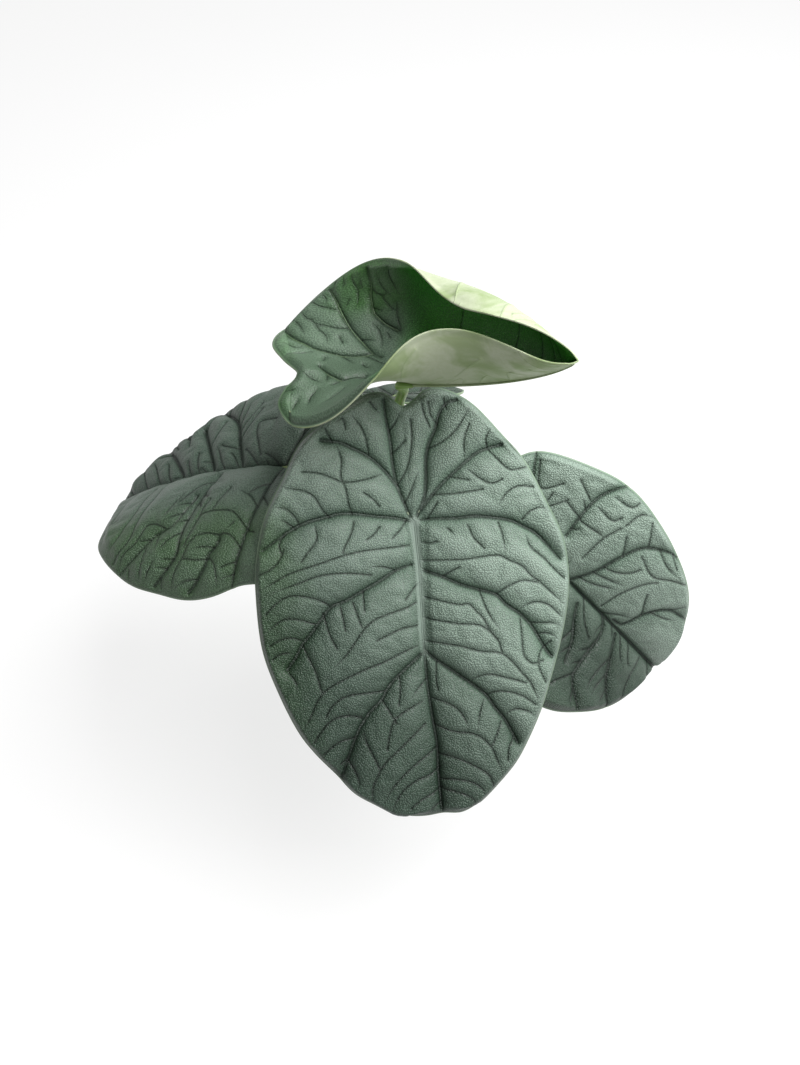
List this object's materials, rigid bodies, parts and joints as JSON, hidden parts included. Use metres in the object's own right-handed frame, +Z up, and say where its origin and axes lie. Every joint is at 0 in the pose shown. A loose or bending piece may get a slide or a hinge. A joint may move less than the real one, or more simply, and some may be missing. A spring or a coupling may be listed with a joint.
{
  "type": "potted alocasia melo",
  "caption": "Small foliage plant in a round pot: broad, thick, deeply puckered leaves on curved stalks, the youngest leaf still rolled.",
  "frame": {"origin": "centre of the pot's flat underside", "axes": "+Z up; the large front leaf leans toward -Y; -X and +X carry the left and right leaves"},
  "size_m": [0.322, 0.2382, 0.3162],
  "materials": {
    "leaf": "satin",
    "young_leaf": "satin",
    "stalk": "satin",
    "rhizome": "matte",
    "potting_mix": "matte",
    "pot": "matte"
  },
  "bodies": {
    "root": {"pot": "pot", "soil": "potting_mix", "rhizome": "rhizome", "blade_front": "leaf", "blade_left": "leaf", "blade_right": "leaf", "blade_young": "young_leaf", "blade_back": "leaf", "petiole_front": "stalk", "petiole_left": "stalk", "petiole_right": "stalk", "petiole_young": "stalk", "petiole_back": "stalk"}
  },
  "joints": []
}
